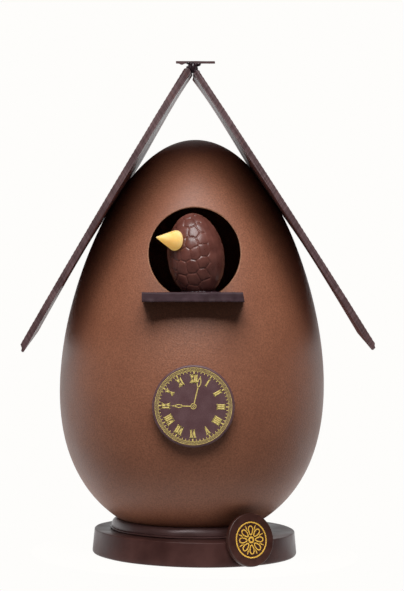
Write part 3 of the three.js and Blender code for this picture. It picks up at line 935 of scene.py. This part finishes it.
def leaning_medallion(material, print_material):
    points, faces = turned(dense(disc_profile(MEDALLION), 0.9), 160)
    points[:, 2] -= MEDALLION.thickness / 2
    shape = (on_medallion(points), faces)
    add_piece("medallion_cast", shape, [material], ["medallion"])
    points, faces = joined(rosette())
    points[:, 2] += MEDALLION.thickness / 2
    shape = (on_medallion(points), faces)
    add_piece("medallion_gold_print", shape, [print_material])


# ---- Roof ----


def plank_reach(side):
    """How far the shell reaches out towards a plank's underside, square to its slope."""
    slope = math.radians(side.slope)
    climb = math.tan(math.radians(side.pitch))
    flat = math.hypot(math.cos(slope), climb * math.sin(slope))
    r, z = egg_point(EGG, np.linspace(0, math.pi, 401))
    return max(r * flat + z * math.sin(slope))


def on_plank(side, s, t, y):
    """Points of a plank: s down its length, t out from its underside, y along its depth."""
    s, t, y = np.broadcast_arrays(np.asarray(s, float), np.asarray(t, float), np.asarray(y, float))
    slope = math.radians(side.slope)
    climb = math.tan(math.radians(side.pitch))
    reach = plank_reach(side)
    across = (y - PLANK.front) / (PLANK.back - PLANK.front)
    from_middle = 2 * s / side.length - 1
    bow = PLANK.bow + (PLANK.back_bow - PLANK.bow) * across
    rise = side.twist * np.maximum(from_middle, 0) * across
    rise = rise - side.sag * across * np.exp(-(((s - side.sag_middle) / PLANK.sag_length) ** 2))
    out = reach + GAP + t - bow * from_middle ** 2 + rise
    outer_reach = reach + GAP + side.thickness
    top_at_axis = side.top_z - climb * PLANK.front
    along = (top_at_axis - outer_reach * math.sin(slope)) / math.cos(slope) - s
    x = out * math.cos(slope) - along * math.sin(slope)
    z = out * math.sin(slope) + along * math.cos(slope) + climb * y
    return np.stack([side.side * x, y, z], axis=-1)


def plank_end(side, t):
    """How far the lower end reaches past the plank's length at a height above its underside."""
    heights = [0, 0.6, side.nick + 0.1, side.nick + 0.35, side.thickness]
    reach = [side.lip - 0.6, side.lip, side.lip * 0.83, side.lip * 0.42, 0]
    return np.interp(t, heights, reach)


def roof_plank(name, side, node, materials):
    """A long piece cut from a sheet: ripples outside, layers in front, a slanted lower end."""
    across_steps, depth_steps = 12, 36
    heights = np.linspace(0, side.thickness, across_steps + 1)
    depths = np.linspace(PLANK.front, PLANK.back, depth_steps + 1)
    loop = [(0, y) for y in depths[:-1]]
    loop += [(t, PLANK.back) for t in heights[:-1]]
    loop += [(side.thickness, y) for y in depths[:0:-1]]
    loop += [(t, PLANK.front) for t in heights[:0:-1]]
    stations = int(side.length / 0.6)
    t0, y0 = np.tile(np.array(loop).T, stations + 1)
    s0 = np.repeat(np.linspace(0, side.length, stations + 1), len(loop))
    share = t0 / side.thickness
    outer = share > 0.99
    under = t0 < 0.01
    near_end = ramp(s0, side.length - 4, side.length)
    rounding = side.top_round * (1 - ramp(s0, 0, 3)) * (2 * share - 1) ** 2
    s = s0 + near_end * plank_end(side, t0) + rounding
    depth_share = (y0 - PLANK.front) / (PLANK.back - PLANK.front)
    swell = side.swell_front + (side.swell_back - side.swell_front) * depth_share
    near_ridge = np.maximum(1 - s0 / PLANK.swell_length, 0) ** 2
    ripple = 0.5 - 0.5 * np.cos(TAU * s0 / PLANK.ripple_pitch)
    t = t0 - swell * near_ridge * (1 - share) - PLANK.ripple_height * ripple * outer
    here = np.stack([s, t0, y0], axis=-1)
    t += outer * 0.05 * noise(here * (1, 1, 0.25), 7, 71)
    t += under * 0.1 * noise(here, 18, 72)
    front = 1 - ramp(y0, PLANK.front, PLANK.front + 2)
    layered = noise(here * (0.05, 1.4, 1), 1, 73)
    layered += 0.7 * noise(here * (0.12, 2.6, 1), 1, 74)
    y = y0 + front * (0.3 + 0.12 * layered + 0.15 * noise(here, 6, 75))
    y += front * 0.2 * (1 - ramp(side.thickness - t0, 0, 0.35))
    faces = grid_faces(stations + 1, len(loop), wrap_columns=True)
    for start in (0, stations * len(loop)):
        faces += plank_cap(start, across_steps, depth_steps)
    shape = (on_plank(side, s, t, y) + AXIS, faces)
    plank = add_piece(name, shape, materials, [node], sharp=40)
    for polygon in plank.data.polygons:
        corners = np.array(polygon.vertices)
        polygon.material_index = int(len(corners) == 4 and under[corners].all())


def plank_cap(start, across_steps, depth_steps):
    """Closes a plank's end with strips that run from its front edge to its back edge."""
    count = 2 * (across_steps + depth_steps)
    back = [depth_steps + i for i in range(across_steps + 1)]
    front = [(count - i) % count for i in range(across_steps + 1)]
    faces = []
    for i in range(across_steps):
        strip = [front[i], back[i], back[i + 1], front[i + 1]]
        if i == 0:
            strip = [*range(0, depth_steps + 1), back[1], front[1]]
        if i == across_steps - 1:
            outer = list(range(back[-1], back[-1] + depth_steps + 1))
            strip = [front[i], back[i], *outer]
        faces.append([start + corner for corner in strip])
    return faces


def ridge_cap(material):
    """A thin plate with soft edges that isn't quite flat."""
    half_x, half_y = RIDGE_CAP.width / 2, RIDGE_CAP.depth / 2
    rows, columns = 70, 90
    x, y = np.meshgrid(np.linspace(-1, 1, columns), np.linspace(-1, 1, rows))
    flat = np.stack([x.ravel() * half_x, y.ravel() * half_y, np.zeros(x.size)], axis=-1)
    edge = np.minimum(half_x * (1 - np.abs(x)), half_y * (1 - np.abs(y))).ravel()
    round_off = np.sqrt(np.clip(1 - (1 - np.clip(edge / 0.5, 0, 1)) ** 2, 0, 1))
    wave = 0.12 * noise(flat, 9, 81)
    from_left = (flat[:, 0] + half_x - 3.4) / 1.3
    from_front = (flat[:, 1] + half_y) / 5
    bulge = 0.8 * np.exp(-(from_left ** 2) - from_front ** 2)
    thickness = RIDGE_CAP.thickness / 2 * (1.1 + 0.2 * round_off)
    top, bottom = flat.copy(), flat.copy()
    top[:, 2] = wave + thickness
    bottom[:, 2] = wave - thickness - bulge
    under = rows * columns
    faces = grid_faces(rows, columns)
    faces += [face[::-1] for face in grid_faces(rows, columns, start=under)]
    grid = np.arange(under).reshape(rows, columns)
    border = [grid[0], grid[1:, -1], grid[-1, -2::-1], grid[-2:0:-1, 0]]
    rim = np.concatenate(border).tolist()
    for a, b in zip(rim, rim[1:] + rim[:1]):
        faces.append((a, b, b + under, a + under))
    tilt = turn("Y", -RIDGE_CAP.roll) @ turn("X", RIDGE_CAP.pitch)
    centre = np.array([RIDGE_CAP.x, RIDGE_CAP.y, RIDGE_CAP.z])
    shape = (placed(np.vstack([top, bottom]), tilt, centre) + AXIS, faces)
    add_piece("ridge_cap_cast", shape, [material], ["ridge_cap"], sharp=50)


def ridge_joint(material):
    """Melted chocolate between the planks' ends and the cap, with drips at the front."""
    sections = []
    for y in np.linspace(RIDGE_JOINT.front + 1, RIDGE_JOINT.back, 30):
        left = on_plank(LEFT_PLANK, 0, LEFT_PLANK.thickness, y)
        right = on_plank(RIGHT_PLANK, 0, RIGHT_PLANK.thickness, y)
        under_left = on_plank(LEFT_PLANK, 0, -0.2, y)
        under_right = on_plank(RIGHT_PLANK, 0, 0, y)
        top = RIDGE_CAP.z + (y - RIDGE_CAP.y) * math.tan(math.radians(RIDGE_CAP.pitch)) - 0.4
        uneven = 0.5 * float(noise(np.array([[y, 3.0, 7.0]]), 6, 91)[0])
        outline = [
            (RIDGE_JOINT.left + 1.6 + uneven, top),
            (RIDGE_JOINT.left + 1.4 + uneven, left[2] + 1),
            (left[0], left[2] - 0.3),
            (under_left[0], under_left[2]),
            (under_right[0], under_right[2]),
            (right[0], right[2] - 0.3),
            (RIDGE_JOINT.right - 1.6 - uneven, right[2] + 2),
            (RIDGE_JOINT.right - 1.7 - uneven, top),
        ]
        sections.append(np.array([(x, y, z) for x, z in outline]))
    front = RIDGE_JOINT.front
    right_top = on_plank(RIGHT_PLANK, 1.4, RIGHT_PLANK.thickness * 0.5, front)
    shapes = [
        loft(sections),
        drop((-5.3, front + 2, 281.2), (1.7, 2, 0.7)),
        drop((-2.6, front + 1.6, 278.6), (2, 2.4, 3.4)),
        drop((0.5, front + 1.8, 280.6), (1.6, 2, 1.2)),
        drop(right_top, (1.9, 1.3, 2.3)),
    ]
    mesh = melted("ridge_joint_cast", shapes, 0.32, 5)
    add_moved("ridge_joint_cast", mesh, [material], ["ridge_joint"])


# ---- Stage, light and camera ----

BACKDROP = (254, 253, 251)
FLOOR = Sizes(radius=102, glow=0.99)
# How bright the room is by direction, from -1 at the front to 1 at the back.
ROOM = [(0.02, 0.13), (0.38, 0.9), (0.6, 1.5), (0.9, 1.4), (1, 1.15)]
ROOM_TURN = -5
ROOM_WHITE = 2
CEILING = Sizes(start=0.08, end=0.4, share=0.35)
KEY = Sizes(azimuth=-2, elevation=50, distance=1400, size=940, power=25.8, target=150)
CAMERA = Sizes(x=1.757, y=-1100, z=160.58, roll=1.1, lens=107.2)


def pale_floor():
    finish = Finish("pale_floor", 40, 2, (36, 35, 34), (40, 39, 38), 0.3, 0.7)
    finish.set(Roughness=0.9, Specular_IOR_Level=0)
    finish.set(Emission_Color=linear(*BACKDROP), Emission_Strength=FLOOR.glow)
    rim = circle(FLOOR.radius, 128)
    points = np.column_stack([rim, np.zeros(len(rim))])
    mesh = mesh_of("floor", (points, [list(range(len(rim)))]))
    mesh.materials.append(finish.material)
    floor = add_object("floor", mesh)


def surroundings():
    """A room that is dark in front and white at the sides and behind, on a plain backdrop."""
    world = bpy.data.worlds.new("studio")
    bpy.context.scene.world = world
    world.use_nodes = True
    tree = world.node_tree
    backdrop = tree.nodes["Background"]
    backdrop.inputs["Color"].default_value = linear(*BACKDROP)
    place = add_node(tree, "TexCoord", {}).outputs["Generated"]
    rotation = (0, 0, math.radians(ROOM_TURN))
    place = add_node(tree, "Mapping", {"Vector": place, "Rotation": rotation}).outputs["Vector"]
    axes = add_node(tree, "SeparateXYZ", {"Vector": place}).outputs
    to_back = map_range(tree, axes["Y"], -1, 1, 0, 1)
    fall = add_node(tree, "ValToRGB", {"Fac": to_back})
    stops = fall.color_ramp.elements
    stops.remove(stops[1])
    for i, (direction, white) in enumerate(ROOM):
        stop = stops[0] if i == 0 else stops.new((1 + direction) / 2)
        stop.position = (1 + direction) / 2
        stop.color = [white / ROOM_WHITE] * 3 + [1]
    dimmed = ROOM_WHITE * CEILING.share
    strength = map_range(tree, axes["Z"], CEILING.start, CEILING.end, ROOM_WHITE, dimmed)
    room = add_node(tree, "Background", {"Color": fall.outputs["Color"], "Strength": strength})
    seen = add_node(tree, "LightPath", {}).outputs["Is Camera Ray"]
    sides = {"Fac": seen, 1: room.outputs["Background"], 2: backdrop.outputs["Background"]}
    mix = add_node(tree, "MixShader", sides)
    tree.links.new(mix.outputs["Shader"], tree.nodes["World Output"].inputs["Surface"])


def key_light():
    """A soft square light in front of the object and above it."""
    azimuth, elevation = math.radians(KEY.azimuth), math.radians(KEY.elevation)
    level = math.cos(elevation)
    away = Vector((level * math.sin(azimuth), -level * math.cos(azimuth), math.sin(elevation)))
    data = bpy.data.lights.new("key", "AREA")
    data.shape = "SQUARE"
    data.size = KEY.size * MM
    data.energy = KEY.power
    lamp = add_object("key", data)
    lamp.location = (Vector((0, 0, KEY.target)) + away * KEY.distance) * MM
    lamp.rotation_euler = away.to_track_quat("Z", "Y").to_euler()


def front_camera():
    data = bpy.data.cameras.new("camera")
    data.lens = CAMERA.lens
    camera = add_object("camera", data)
    camera.location = (CAMERA.x * MM, CAMERA.y * MM, CAMERA.z * MM)
    level = Matrix.Rotation(math.radians(90), 4, "X")
    roll = Matrix.Rotation(math.radians(CAMERA.roll), 4, "Z")
    camera.rotation_euler = (level @ roll).to_euler()
    bpy.context.scene.camera = camera
    bpy.context.scene.view_settings.view_transform = "Standard"


# ---- The scene ----


def dress():
    tint = (0.9, 0.8, 0.82, 1)
    dark = patchy("dark_chocolate", Specular_IOR_Level=0.25, Specular_Tint=tint)
    # The seat ring's lighter colour is painted highlight on its shoulder.
    ring_painted_highlight = patchy("ring_chocolate_painted_highlight", Specular_IOR_Level=0.6, Specular_Tint=tint)
    melt = patchy("melted_chocolate", Specular_IOR_Level=0.35)
    # The beak's emission is painted glow: it lightens the beak's shaded underside in place of
    # light passing through the yellow chocolate.
    yellow = patchy(
        "yellow_chocolate",
        Subsurface_Weight=1, Subsurface_Scale=0.012, Subsurface_Radius=(1, 0.8, 0.6),
        Emission_Color=linear(255, 206, 106), Emission_Strength=0.38,
    )
    base_disc(dark)
    seat_ring(ring_painted_highlight)
    egg_shell(milk_chocolate(), patchy("cut_milk_chocolate"))
    perch_ledge(ledge_chocolate())
    bird_egg(patchy("bird_chocolate"))
    beak(yellow)
    glue_spots(melt)
    clock_dial(dial_chocolate(), patchy("dial_gold"))
    leaning_medallion(patchy("medallion_chocolate"), patchy("medallion_gold"))
    for name, side in (("left", LEFT_PLANK), ("right", RIGHT_PLANK)):
        layered = plank_chocolate("plank_chocolate_" + name, side.side * (90 - side.slope))
        under = moulded_underside_painted_sheen("moulded_underside_painted_sheen_" + name, side)
        roof_plank("roof_plank_" + name, side, "roof_panel_" + name, [layered, under])
    ridge_joint(melt)
    ridge_cap(plank_chocolate("plank_chocolate_cap", 0))


pale_floor()
dress()
surroundings()
key_light()
front_camera()
